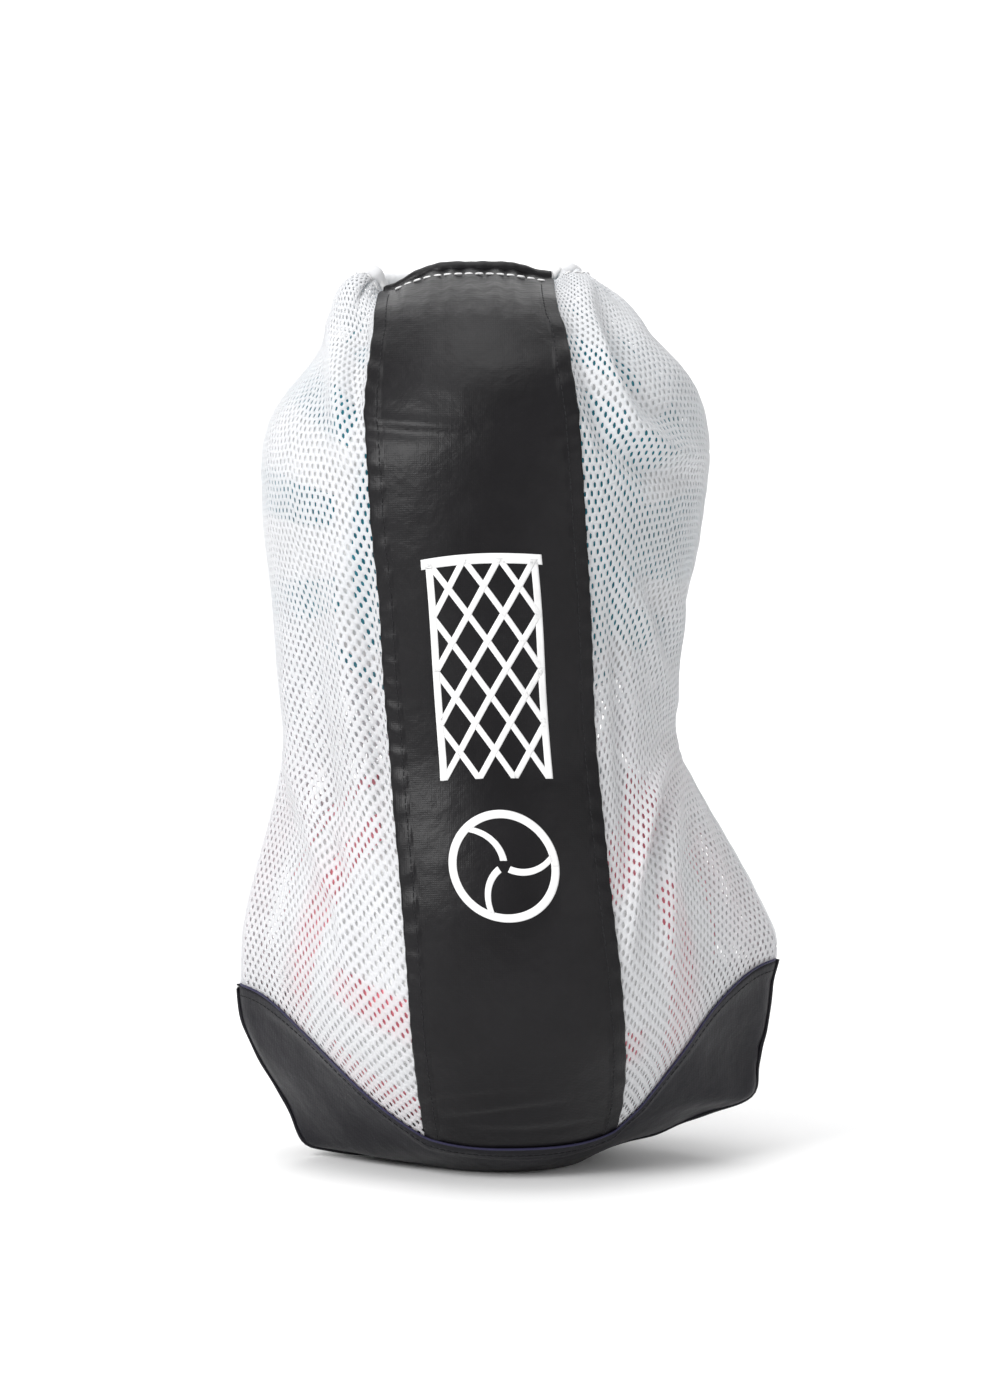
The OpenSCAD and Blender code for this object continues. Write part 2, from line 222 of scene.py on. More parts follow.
def outline_points(i, j):
    """Smooth surface at grid rows i and columns j, in millimetres, before any folds."""
    h = rise_at(i, j)
    a = col_angle(j, front_angle(at(PANEL_R, h), h), front_angle(at(PANEL_L, h), h))
    tent = pointed_reach(a, h)
    side, n = side_reach(a, h), at(SQUARE, h)
    ox = np.where(h < WAIST, tent * np.cos(a), side * signed_pow(np.cos(a), 2 / n))
    oy = np.where(h < WAIST, tent * np.sin(a), round_reach(h) * signed_pow(np.sin(a), 2 / n))
    y = (at(FRONT, h) + at(BACK, h)) / 2 + oy
    t = (y - at(FRONT, h)) / (at(BACK, h) - at(FRONT, h))
    z = at(Z_FRONT, h) + (at(Z_BACK, h) - at(Z_FRONT, h)) * t
    return np.stack([at(CENTRE, h) + ox, y, z], -1)


def grid_normals(g):
    """Outward normals of a grid that is closed along its columns."""
    du = np.roll(g, -1, 1) - np.roll(g, 1, 1)
    dv = np.gradient(g, axis=0)
    n = np.cross(dv, du)
    return n / np.maximum(np.linalg.norm(n, axis=2, keepdims=True), 1e-9)


ROW_I = np.arange(0, ROWS * STEPS + 1) / STEPS
COL_J = np.arange(0, COLS * STEPS) / STEPS


def bump(x, centre, width):
    return np.exp(-((x - centre) / width) ** 2)


# Ridges (+) and valleys (-) of the slack cloth as seen from the front: points (x, z) in
# millimetres, height, half width.
CREASES = [
    (((35, 444), (47, 404), (60, 376), (78, 364), (97, 359)), 5.5, 5.0),
    (((28, 425), (38, 395), (50, 368), (70, 353), (92, 348)), -3.5, 5.5),
    (((44, 432), (57, 400), (72, 383), (92, 374)), -3.0, 4.0),
    (((52, 440), (66, 415), (84, 397), (99, 386)), 3.5, 5.0),
    (((84, 222), (72, 190), (62, 150), (58, 112)), 3.5, 4.0),
    (((80, 202), (72, 162), (69, 118)), -3.0, 4.0),
    (((84, 217), (81, 170), (79, 120), (82, 84)), 3.0, 4.5),
    (((85, 212), (100, 165), (113, 125)), 2.5, 5.0),
    (((84, 222), (74, 262), (60, 300)), 3.0, 5.0),
    (((82, 240), (75, 275), (68, 305)), -2.5, 4.0),
    (((84, 226), (86, 262), (82, 305)), 2.5, 5.0),
    (((50, 300), (55, 250), (57, 200), (60, 150)), -2.5, 4.0),
    (((-80, 446), (-86, 422), (-84, 390), (-80, 356)), 4.0, 6.0),
    (((-72, 436), (-76, 405), (-77, 370)), -3.5, 4.0),
    (((-80, 330), (-83, 290), (-78, 240), (-70, 190)), 3.5, 6.0),
    (((-70, 330), (-70, 290), (-66, 240), (-62, 190), (-58, 150)), -4.0, 4.5),
    (((-100, 310), (-98, 250), (-91, 200), (-87, 150), (-93, 110)), -3.0, 6.0),
    (((-112, 270), (-109, 225), (-104, 185)), 2.5, 5.0),
    (((-113, 214), (-97, 186), (-80, 166)), 2.5, 5.0),
    (((-113, 208), (-97, 170), (-82, 130), (-74, 92)), 2.5, 5.0),
]


def crease_height(x, z):
    """Height of all the creases at points seen from the front."""
    out = np.zeros_like(x)
    for points, height, width in CREASES:
        p = np.array(points, float)
        start = run_length(p)
        seg = np.diff(start)
        best, along = np.full(x.shape, 1e9), np.zeros_like(x)
        for k in range(len(seg)):
            d = (p[k + 1] - p[k]) / seg[k]
            t = np.clip((x - p[k, 0]) * d[0] + (z - p[k, 1]) * d[1], 0, seg[k])
            dist = np.hypot(x - p[k, 0] - t * d[0], z - p[k, 1] - t * d[1])
            closer = dist < best
            best, along = np.where(closer, dist, best), np.where(closer, start[k] + t, along)
        fade = np.clip(np.minimum(along, start[-1] - along) / (0.3 * start[-1]), 0, 1)
        out += height * np.exp(-(best / width) ** 2) * (0.25 + 0.75 * fade)
    return out


def beside_panel(j):
    """1 on the front half, and 1 on the front's mesh fading to 0 at the panel's edges."""
    front = np.where(j < COL_SEAM_L, 1.0, 0.0)
    past = np.maximum(j - COL_PANEL_L, COL_PANEL_R - j)
    return front, front * np.clip(past / 0.8, 0, 1)


def creases(i, j, p):
    """The drawn ridges and valleys on both halves, and the cloth's puffs at the mouth."""
    x, z = p[..., 0], p[..., 2]
    front, off_panel = beside_panel(j)
    from_seam = np.clip(np.minimum(j, COL_SEAM_L - j) / 1.5, 0, 1)
    d = 1.35 * off_panel * from_seam * crease_height(x, z)
    back = np.clip((j - COL_SEAM_L) / 2, 0, 1) * np.clip((COLS - j) / 2, 0, 1) * (1 - front)
    d += back * crease_height(-x - 20, z - 6)
    d += 7.5 * bump(i, 30.0, 1.3) * bump(j, 19.0, 1.7) + 4.0 * bump(i, 30.2, 1.1) * bump(j, 5.4, 1.5)
    return d * np.clip((i - ROW_SEAM) / 3, 0, 1)


def folds(i, j, p):
    """Height of the folds over the smooth surface, in millimetres."""
    x, y, z = p[..., 0], p[..., 1], p[..., 2]
    front, off_panel = beside_panel(j)
    d = np.zeros_like(x)
    # Pleats drawn in by the cord, stronger towards the mouth.
    gather = np.clip((i - 25.5) / 6.5, 0, 1) ** 1.6
    side_on = np.where(front > 0, off_panel, 1.0)
    phase = j * 2 * np.pi * 26 / COLS + 1.1 * np.sin(j * 0.7) + 0.35 * np.sin(i * 0.9 + j)
    d += gather * side_on * (1.9 * np.sin(phase) + 0.8 * np.sin(2.13 * phase + 1.3))
    # Slack in the black base: sags along the floor and creases towards the ears.
    base = np.clip((ROW_SEAM + 0.6 - i) / 2.0, 0, 1) * np.clip(i / 1.2, 0, 1)
    ear = np.clip((np.abs(x + 5) - 62) / 50, 0, 1)
    d += base * ear * 2.0 * np.sin(z * 0.11 + x * 0.09 + np.where(y > -12, 1.7, 0.0))
    d += base * (1 - ear) * 0.9 * np.sin(x * 0.085 + 0.5) * np.sin(z * 0.2)
    return d


def mouth_sag(i, j):
    """How far the rim drops at the panel's two corners and beside them."""
    near = np.clip((i - 27.5) / 4.5, 0, 1) ** 1.5
    corners = 12.0 * bump(j, COL_PANEL_L - 0.3, 1.8) + 4.5 * bump(j, COL_PANEL_R + 0.2, 1.5)
    return near * (1.0 * bump(j, 3.8, 1.6) - 1.5 * bump(j, 19.2, 1.5) - corners)


def wave_noise(i, j, seed, count, scale_i, scale_j):
    """A sum of waves that closes round the bag."""
    rng = np.random.default_rng(seed)
    out = np.zeros(np.broadcast(i, j).shape)
    for _ in range(count):
        k = rng.integers(1, scale_j + 1)
        out += rng.normal() / math.sqrt(count) * np.sin(
            2 * np.pi * k * j / COLS + rng.uniform(-scale_i, scale_i) * i + rng.uniform(0, 6.28))
    return out


def clear_of_balls(g, gap):
    for c in (LOWER, UPPER):
        v = g - c
        r = np.linalg.norm(v, axis=-1, keepdims=True)
        g = np.where(r < BALL_R + gap, c + v / r * (BALL_R + gap), g)
    g[..., 2] = np.maximum(g[..., 2], FLOOR_GAP)
    return g


FLOOR_GAP = 0.5                 # the lowest that the cloth's middle surface comes
MESH_FLAT_WIDTH = 750.0         # the bag cut flat, all the way round
CLOTH_LENGTH = 482.0            # base seam to mouth, cut flat


def relax(g, i, j, rounds=260):
    """Cloth relaxation: the grid's threads keep their cut length, so spare cloth buckles
    into folds, while the balls, the floor, the panel and the sewn edges hold it."""
    start = g.copy()
    ju = np.broadcast_to(j, g.shape[:2])
    iv = np.broadcast_to(i, g.shape[:2])
    panel = (ju >= COL_PANEL_R - 0.3) & (ju <= COL_PANEL_L + 0.3)
    from_seam = np.minimum(ju, np.minimum(np.abs(ju - COL_SEAM_L), COLS - ju))
    edge = np.exp(-from_seam / 0.8)
    hold = 0.012 + 0.5 * panel + 0.25 * edge * (iv < 16)
    hold = hold + 0.6 * np.exp(-np.abs(iv - ROW_SEAM) / 0.7) + 0.5 * np.clip((iv - 29) / 3, 0, 1)
    hold = np.clip(hold + 0.12 * (iv < ROW_SEAM), 0, 1)[..., None]
    len_u = np.linalg.norm(np.roll(start, -1, 1) - start, axis=2)
    len_v = np.linalg.norm(start[1:] - start[:-1], axis=2)
    slack = np.clip((iv - ROW_SEAM) / 4, 0, 1) * np.clip((31 - iv) / 5, 0, 1)
    spare = np.clip(MESH_FLAT_WIDTH / len_u.sum(1) - 1, 0, 0.10)[:, None]
    rest_u = len_u * (1 + spare * slack * ~panel)
    total = len_v[ROW_SEAM * STEPS // 2:].sum(0)
    extra = np.clip(CLOTH_LENGTH / total, 1.0, 1.05)[None, :]
    rest_v = len_v * (1 + (extra - 1) * slack[:-1])
    n = grid_normals(g)
    g = g + n * (wave_noise(iv, ju, 7, 14, 0.35, 16) * 1.3 * slack)[..., None] * (~panel)[..., None]
    for k in range(rounds):
        d = np.roll(g, -1, 1) - g
        length = np.linalg.norm(d, axis=2, keepdims=True)
        pull = 0.24 * d * (1 - rest_u[..., None] / np.maximum(length, 1e-6))
        g = g + pull - np.roll(pull, 1, 1)
        d = g[1:] - g[:-1]
        length = np.linalg.norm(d, axis=2, keepdims=True)
        pull = 0.24 * d * (1 - rest_v[..., None] / np.maximum(length, 1e-6))
        g[:-1] += pull
        g[1:] -= pull
        smooth = (np.roll(g, 1, 1) + np.roll(g, -1, 1)) / 2 - g
        smooth[1:-1] += (g[2:] + g[:-2]) / 2 - g[1:-1]
        bend = smooth - (np.roll(smooth, 1, 1) + np.roll(smooth, -1, 1)) / 2
        g = g + 0.16 * smooth * 0.35 + 0.1 * bend
        g[..., 2] -= 0.012 * slack
        g = g + hold * 0.25 * (start - g)
        if k % 4 == 3 or k == rounds - 1:
            g = clear_of_balls(g, 1.0)
    return g


def upsample(g, factor):
    """Cubic resampling of a grid that is closed along its columns."""
    def along(a, axis, closed):
        n = a.shape[axis]
        count = n * factor if closed else (n - 1) * factor + 1
        pos = np.arange(count) / factor
        k = np.floor(pos).astype(int)
        t = (pos - k).reshape([-1 if s == axis else 1 for s in range(a.ndim)])

        def take(o):
            idx = (k + o) % n if closed else np.clip(k + o, 0, n - 1)
            return np.take(a, idx, axis)
        p0, p1, p2, p3 = take(-1), take(0), take(1), take(2)
        return 0.5 * (2 * p1 + (p2 - p0) * t + (2 * p0 - 5 * p1 + 4 * p2 - p3) * t ** 2
                      + (3 * p1 - p0 - 3 * p2 + p3) * t ** 3)
    return along(along(g, 0, False), 1, True)


def make_surface():
    half_i, half_j = ROW_I[::2][:, None], COL_J[::2][None, :]
    g = outline_points(half_i, half_j)
    g = g + grid_normals(g) * folds(half_i, half_j, g)[..., None]
    g[..., 2] += mouth_sag(half_i, half_j)
    g = clear_of_balls(g, 1.0)
    g = relax(g, half_i, half_j)
    g = upsample(g, 2)
    i, j = ROW_I[:, None], COL_J[None, :]
    g = g + grid_normals(g) * creases(i, j, g)[..., None]
    return clear_of_balls(g, 0.8)


GRID = make_surface()
NORMAL = grid_normals(GRID)


def patch(i0, i1, j0, j1):
    """Rows and columns of the surface between grid rows i0, i1 and columns j0, j1."""
    rows = np.arange(round(i0 * STEPS), round(i1 * STEPS) + 1)
    cols = np.arange(round(j0 * STEPS), round(j1 * STEPS) + 1) % (COLS * STEPS)
    return GRID[np.ix_(rows, cols)], NORMAL[np.ix_(rows, cols)]


def even_patch(i0, i1, j0, j1, nv, nu):
    """The same, respaced so that its threads are evenly spaced both ways."""
    both = np.stack([even_path(row, nu) for row in np.concatenate(patch(i0, i1, j0, j1), 2)])
    both = np.stack([even_path(both[:, c], nv) for c in range(nu + 1)], 1)
    return both[..., :3], unit(both[..., 3:])


def sample(a, v, u):
    """Value of a grid at fractional rows v and columns u."""
    v = np.clip(v, 0, a.shape[0] - 1.0001)
    u = np.clip(u, 0, a.shape[1] - 1.0001)
    r, c = v.astype(int), u.astype(int)
    fv, fu = (v - r)[..., None], (u - c)[..., None]
    return ((a[r, c] * (1 - fu) + a[r, c + 1] * fu) * (1 - fv)
            + (a[r + 1, c] * (1 - fu) + a[r + 1, c + 1] * fu) * fv)


# ---------------------------------------------------------------- mesh helpers
def new_object(name, verts, faces, mat, smooth=True):
    """A mesh object from vertices in millimetres and faces that all have the same size."""
    verts = np.asarray(verts, float) * MM
    faces = np.asarray(faces, np.int32)
    mesh = bpy.data.meshes.new(name)
    mesh.vertices.add(len(verts))
    mesh.vertices.foreach_set("co", verts.astype(np.float32).ravel())
    size = faces.shape[1]
    mesh.loops.add(faces.size)
    mesh.loops.foreach_set("vertex_index", faces.ravel())
    mesh.polygons.add(len(faces))
    mesh.polygons.foreach_set("loop_start", np.arange(0, faces.size, size, dtype=np.int32))
    mesh.polygons.foreach_set("use_smooth", np.full(len(faces), smooth))
    mesh.update(calc_edges=True)
    mesh.validate()
    mesh.materials.append(mat)
    obj = bpy.data.objects.new(name, mesh)
    bpy.context.scene.collection.objects.link(obj)
    return obj


def grid_faces(nr, nc, closed=False, flip=False):
    r, c = np.meshgrid(np.arange(nr - 1), np.arange(nc if closed else nc - 1), indexing="ij")
    c2 = (c + 1) % nc
    f = np.stack([r * nc + c, r * nc + c2, (r + 1) * nc + c2, (r + 1) * nc + c], -1).reshape(-1, 4)
    return f[:, ::-1] if flip else f


def shell(name, g, n, outside, inside, mat):
    """A closed sheet: the grid moved out by outside and in by inside, with its edges joined."""
    nr, nc = g.shape[:2]
    verts = np.concatenate([(g + n * outside).reshape(-1, 3), (g - n * inside).reshape(-1, 3)])
    m = nr * nc
    top = grid_faces(nr, nc)
    ring = np.concatenate([np.arange(nc), np.arange(1, nr) * nc + nc - 1,
                           (nr - 1) * nc + np.arange(nc - 2, -1, -1), np.arange(nr - 2, 0, -1) * nc])
    nxt = np.roll(ring, -1)
    wall = np.stack([ring, nxt, nxt + m, ring + m], -1)
    return new_object(name, verts, np.concatenate([top[:, ::-1], top + m, wall]), mat)


# ---------------------------------------------------------------- materials
def material(name, color, rough, **sockets):
    mat = bpy.data.materials.new(name)
    mat.use_nodes = True
    bsdf = mat.node_tree.nodes["Principled BSDF"]
    bsdf.inputs["Base Color"].default_value = (*color, 1)
    bsdf.inputs["Roughness"].default_value = rough
    for key, value in sockets.items():
        bsdf.inputs[key.replace("_", " ")].default_value = value
    return mat


def node(mat, kind, inputs=(), **props):
    n = mat.node_tree.nodes.new(kind)
    for k, v in props.items():
        setattr(n, k, v)
    for k, v in dict(inputs).items():
        if isinstance(v, bpy.types.NodeSocket):
            mat.node_tree.links.new(v, n.inputs[k])
        else:
            n.inputs[k].default_value = v
    return n


def coords(mat, scale=(1, 1, 1), turn=(0, 0, 0)):
    tex = node(mat, "ShaderNodeTexCoord")
    return node(mat, "ShaderNodeMapping", {"Vector": tex.outputs["Object"], "Scale": scale,
                                           "Rotation": turn}).outputs[0]


def noise(mat, vector, scale, detail=3.0):
    return node(mat, "ShaderNodeTexNoise", {"Vector": vector, "Scale": scale, "Detail": detail}).outputs[0]


def math_node(mat, op, a, b=0.0):
    return node(mat, "ShaderNodeMath", {0: a, 1: b}, operation=op).outputs[0]


def tint(mat, factor, low, high):
    """Drive the base colour between two colours."""
    ramp = node(mat, "ShaderNodeValToRGB", {"Fac": factor})
    ramp.color_ramp.elements[0].color = (*low, 1)
    ramp.color_ramp.elements[1].color = (*high, 1)
    ramp.color_ramp.elements[0].position, ramp.color_ramp.elements[1].position = 0.3, 0.7
    bsdf = mat.node_tree.nodes["Principled BSDF"]
    mat.node_tree.links.new(ramp.outputs[0], bsdf.inputs["Base Color"])


def bumps(mat, *layers):
    """Bump layers, each (height socket, strength, distance in metres)."""
    normal = None
    for height, strength, distance in layers:
        n = node(mat, "ShaderNodeBump", {"Height": height, "Strength": strength, "Distance": distance})
        if normal is not None:
            mat.node_tree.links.new(normal, n.inputs["Normal"])
        normal = n.outputs[0]
    bsdf = mat.node_tree.nodes["Principled BSDF"]
    mat.node_tree.links.new(normal, bsdf.inputs["Normal"])


def rough_range(mat, factor, low, high):
    r = node(mat, "ShaderNodeMapRange", {"Value": factor, "To Min": low, "To Max": high})
    bsdf = mat.node_tree.nodes["Principled BSDF"]
    mat.node_tree.links.new(r.outputs[0], bsdf.inputs["Roughness"])


def weave(mat, vector, pitch):
    """Height of a plain weave: two sets of threads, pitch in metres."""
    k = 2 * math.pi / pitch
    sep = node(mat, "ShaderNodeSeparateXYZ", {0: vector})
    a = math_node(mat, "SINE", math_node(mat, "MULTIPLY", sep.outputs[0], k))
    b = math_node(mat, "SINE", math_node(mat, "MULTIPLY", sep.outputs[2], k))
    return math_node(mat, "MAXIMUM", a, b)


def nylon(name, low, high, rough):
    mat = material(name, low, rough, Specular_IOR_Level=0.20, Sheen_Weight=0.01, Sheen_Roughness=0.4)
    v = coords(mat)
    cloud = noise(mat, v, 26, 4)
    tint(mat, cloud, low, high)
    rough_range(mat, noise(mat, v, 60, 3), rough - 0.06, rough + 0.08)
    bumps(mat, (weave(mat, v, 0.0009), 0.12, 0.0002), (noise(mat, v, 900, 2), 0.12, 0.0003),
          (noise(mat, v, 75, 4), 0.25, 0.0035))
    return mat


def knit(name, low, high, through):
    """White knitted mesh: fibrous, matt, and a little light comes through."""
    mat = material(name, high, 0.72, Sheen_Weight=0.15, Sheen_Roughness=0.6, Specular_IOR_Level=0.3)
    v = coords(mat)
    tint(mat, noise(mat, v, 30, 3), low, high)
    bumps(mat, (noise(mat, v, 1400, 2), 0.35, 0.0003), (noise(mat, v, 380, 2), 0.25, 0.0005))
    tree = mat.node_tree
    bsdf, out = tree.nodes["Principled BSDF"], tree.nodes["Material Output"]
    glow = node(mat, "ShaderNodeBsdfTranslucent", {"Color": (*high, 1)})
    mix = node(mat, "ShaderNodeMixShader", {0: through, 1: bsdf.outputs[0], 2: glow.outputs[0]})
    tree.links.new(mix.outputs[0], out.inputs["Surface"])
    return mat


def thread(name, low, high):
    mat = material(name, high, 0.6, Specular_IOR_Level=0.3)
    v = coords(mat)
    tint(mat, noise(mat, v, 500, 2), low, high)
    twist = node(mat, "ShaderNodeTexWave", {"Vector": v, "Scale": 900.0, "Distortion": 2.0},
                 bands_direction="DIAGONAL").outputs[1]
    bumps(mat, (twist, 0.4, 0.0002))
    return mat


def rubber(name, low, high, rough=0.5):
    mat = material(name, high, rough, Specular_IOR_Level=0.45)
    v = coords(mat)
    tint(mat, noise(mat, v, 40, 3), low, high)
    cell = node(mat, "ShaderNodeTexVoronoi", {"Vector": v, "Scale": 420.0}).outputs[0]
    bumps(mat, (math_node(mat, "SMOOTH_MIN", cell, 0.45), 0.6, 0.0006),
          (noise(mat, v, 300, 3), 0.15, 0.0004))
    return mat


def hard(name, color, rough, **sockets):
    mat = material(name, color, rough, **sockets)
    v = coords(mat)
    rough_range(mat, noise(mat, v, 220, 3), rough - 0.08, rough + 0.1)
    tint(mat, noise(mat, v, 90, 3), tuple(c * 0.85 for c in color), color)
    bumps(mat, (noise(mat, v, 1500, 3), 0.2, 0.0002))
    return mat


def pale(c, k):
    return tuple(x * k for x in c)


KNIT_WHITE = (0.84, 0.845, 0.86)
MATS = {
    "panel": nylon("panel_nylon", (0.0042, 0.0038, 0.0046), (0.0072, 0.0066, 0.0078), 0.34),
    "base": nylon("base_nylon", (0.0034, 0.0031, 0.0052), (0.0064, 0.0058, 0.0092), 0.42),
    "base_edge": nylon("base_edge_nylon", (0.020, 0.018, 0.045), (0.030, 0.028, 0.070), 0.45),
    "mesh": knit("mesh_cloth", pale(KNIT_WHITE, 0.94), KNIT_WHITE, 0.45),
    "mesh_double": knit("mesh_cloth_double", pale(KNIT_WHITE, 0.90), pale(KNIT_WHITE, 0.98), 0.20),
    "white_thread": thread("white_thread", (0.62, 0.62, 0.62), (0.82, 0.82, 0.82)),
    "black_thread": thread("black_thread", (0.004, 0.004, 0.005), (0.010, 0.010, 0.012)),
    "ink": hard("white_ink", (0.80, 0.80, 0.80), 0.6),
    "cord": thread("cord_white", (0.66, 0.66, 0.66), (0.84, 0.84, 0.84)),
    "metal": hard("eyelet_metal", (0.62, 0.62, 0.64), 0.3, Metallic=1.0),
    "plastic": hard("lock_plastic", (0.018, 0.018, 0.019), 0.45),
    "steel": hard("spring_steel", (0.6, 0.6, 0.6), 0.25, Metallic=1.0),
    "ball_white": rubber("ball_white", (0.78, 0.78, 0.77), (0.86, 0.86, 0.85)),
    "ball_teal": rubber("ball_teal", (0.012, 0.20, 0.27), (0.020, 0.29, 0.37)),
    "ball_pink": rubber("ball_pink", (0.78, 0.20, 0.25), (0.88, 0.27, 0.32)),
    "inner": rubber("ball_inner", (0.03, 0.03, 0.03), (0.05, 0.05, 0.05)),
    "valve": rubber("valve_rubber", (0.03, 0.03, 0.03), (0.05, 0.05, 0.05)),
}


# ---------------------------------------------------------------- pieces on the frame
CROWN_START, CROWN_END = (0, 0.0300, 0.4370), (0, 0.0344, 0.4458)


def crown(piece, slot, *nodes):
    """Cloth that runs from the bag on to the part of the mouth that swings back."""
    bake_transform(piece)
    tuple(CROWN_START)
    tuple(CROWN_END)
    if nodes:
        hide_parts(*nodes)


def rides(piece, body, slot, *nodes):
    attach(piece, body)
    if nodes:
        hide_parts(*nodes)


# ---------------------------------------------------------------- the knitted mesh
PITCH, ROW_PITCH = 4.8, 3.95
HOLE_X, HOLE_Y = 1.0, 1.52
NET_T = 0.42
EDGE_HOLE = 0.12                # share of its full size that a hole at the cloth's edge has
HEX = [(0, 2 / 3), (0.5, 1 / 3), (0.5, -1 / 3), (0, -2 / 3), (-0.5, -1 / 3), (-0.5, 1 / 3)]


def net(name, i0, i1, j0, j1, columns, rows):
    """Mesh cloth with a real oval hole in every cell of a staggered lattice."""
    g, n = even_patch(i0, i1, j0, j1, rows * 2, columns * 3)
    nv, nu = g.shape[0] - 1, g.shape[1] - 1
    r, c = np.meshgrid(np.arange(rows + 1), np.arange(columns + 1), indexing="ij")
    cu, cv = (c + 0.5 * (r % 2)).ravel(), r.ravel().astype(float)
    keep = cu <= columns
    cu, cv = cu[keep], cv[keep]
    corner = np.array(HEX)
    hu, hv = cu[:, None] + corner[None, :, 0], cv[:, None] + corner[None, :, 1]
    ang = np.radians([90, 30, -30, -90, -150, 150])
    at_edge = (cv < 0.6) | (cv > rows - 0.6) | (cu < 0.6) | (cu > columns - 0.6)
    size = np.where(at_edge, EDGE_HOLE, 1.0)[:, None]
    rng = np.random.default_rng(len(name) + columns)
    size = size * (1 + 0.07 * rng.normal(size=size.shape).clip(-2, 2))
    ou = cu[:, None] + size * HOLE_X / PITCH * np.cos(ang)[None]
    ov = cv[:, None] + size * HOLE_Y / ROW_PITCH * np.sin(ang)[None]
    key = np.round(np.stack([hu.ravel() * 2, hv.ravel() * 3], -1)).astype(int)
    uniq, where = np.unique(key, axis=0, return_inverse=True)
    where = where.reshape(-1, 6)
    u = np.concatenate([uniq[:, 0] / 2, ou.ravel()])
    v = np.concatenate([uniq[:, 1] / 3, ov.ravel()])
    u, v = np.clip(u, 0, columns), np.clip(v, 0, rows)
    p = sample(g, v * nv / rows, u * nu / columns)
    q = sample(n, v * nv / rows, u * nu / columns)
    m = len(u)
    verts = np.concatenate([p, p - q * NET_T])
    hole = len(uniq) + np.arange(len(cu) * 6).reshape(-1, 6)
    nxt_h, nxt_w = np.roll(hole, -1, 1), np.roll(where, -1, 1)
    top = np.stack([where, nxt_w, nxt_h, hole], -1).reshape(-1, 4)
    rim = np.stack([hole, nxt_h, nxt_h + m, hole + m], -1).reshape(-1, 4)
    faces = np.concatenate([top, top[:, ::-1] + m, rim])
    return new_object(name, verts, faces, MATS["mesh"])


MESH_ROWS = 119
NETS = [
    ("front_left_net", 15.75, 24.0, 28, ["front_left_mesh"]),
    ("front_right_net", 0.0, 8.25, 33, ["front_right_mesh"]),
    ("back_left_net", 24.0, 36.0, 37, ["back_mesh"]),
    ("back_right_net", 36.0, 48.0, 37, ["back_lip_mesh"]),
]


def make_nets():
    for name, j0, j1, columns, nodes in NETS:
        piece = net(name, 5.75, 31.6, j0, j1, columns, MESH_ROWS)
        crown(piece, "mesh_cloth", *nodes)


# ---------------------------------------------------------------- threads and tubes
def frames_along(path):
    """Two directions across an open path at each of its points."""
    t = unit(np.gradient(path, axis=0))
    side = np.cross(t, [0, 0, 1.0])
    side[np.linalg.norm(side, axis=1) < 1e-3] = [1, 0, 0]
    side = unit(side)
    return side, np.cross(side, t)


def tube_mesh(path, radius, sides=12, closed=False):
    """Vertices and faces of a round tube; radius may vary by point and by angle."""
    a, b = frames_along(path)
    if closed:
        t = unit(np.roll(path, -1, 0) - np.roll(path, 1, 0))
        a = unit(np.cross(t, [0, 0, 1.0]))
        b = np.cross(a, t)
    ang = (np.arange(sides) * 2 * np.pi / sides)[None, :, None]
    if np.ndim(radius) == 1:
        radius = np.reshape(radius, (-1, 1))
    rad = np.broadcast_to(radius, (len(path), sides))[..., None]
    v = path[:, None] + rad * (np.cos(ang) * a[:, None] + np.sin(ang) * b[:, None])
    n = len(path)
    r, c = np.meshgrid(np.arange(n if closed else n - 1), np.arange(sides), indexing="ij")
    r2, c2 = (r + 1) % n, (c + 1) % sides
    f = np.stack([r * sides + c, r * sides + c2, r2 * sides + c2, r2 * sides + c], -1).reshape(-1, 4)
    return v.reshape(-1, 3), f


def smooth_path(points, step):
    """Cubic path through points, evenly spaced by step."""
    p = np.asarray(points, float)
    p = np.concatenate([[2 * p[0] - p[1]], p, [2 * p[-1] - p[-2]]])
    out = []
    for k in range(1, len(p) - 2):
        t = np.linspace(0, 1, 24, endpoint=False)[:, None]
        out.append(0.5 * (2 * p[k] + (p[k + 1] - p[k - 1]) * t
                          + (2 * p[k - 1] - 5 * p[k] + 4 * p[k + 1] - p[k + 2]) * t ** 2
                          + (3 * p[k] - p[k - 1] - 3 * p[k + 1] + p[k + 2]) * t ** 3))
    out = np.concatenate(out + [p[-2][None]])
    return even_path(out, max(1, int(round(run_length(out)[-1] / step))))


def stitches(name, path, normal, pitch, length, width, mat):
    """A row of thread stitches lying on cloth, each a small arched, round-ended bar."""
    s = run_length(path)
    count = int((s[-1] - length) / pitch)
    parts, faces, base = [], [], 0
    prof = np.array([[-0.5, 0.25], [-0.42, 0.8], [-0.2, 1.0], [0.2, 1.0], [0.42, 0.8], [0.5, 0.25]])
    ang = (np.arange(6) * np.pi / 3)[None, :, None]
    caps = np.array([[3, 2, 1, 0], [5, 4, 3, 0], [30, 31, 32, 33], [30, 33, 34, 35]])[:, ::-1]
    bar = np.concatenate([grid_faces(6, 6, closed=True, flip=True), caps])
    for k in range(count):
        at_s = (k + 0.7) * pitch + prof[:, 0] * length
        p, q = read_off(at_s, s, path), unit(read_off(at_s, s, normal))
        side = np.cross(unit(np.gradient(p, axis=0)), q)
        p = p + q * (0.25 * width * prof[:, 1] - 0.1)[:, None]
        r = (0.5 * width * prof[:, 1])[:, None, None]
        v = p[:, None] + r * (np.cos(ang) * side[:, None] + np.sin(ang) * q[:, None])
        parts.append(v.reshape(-1, 3))
        faces.append(bar + base)
        base += 36
    return new_object(name, np.concatenate(parts), np.concatenate(faces), mat)


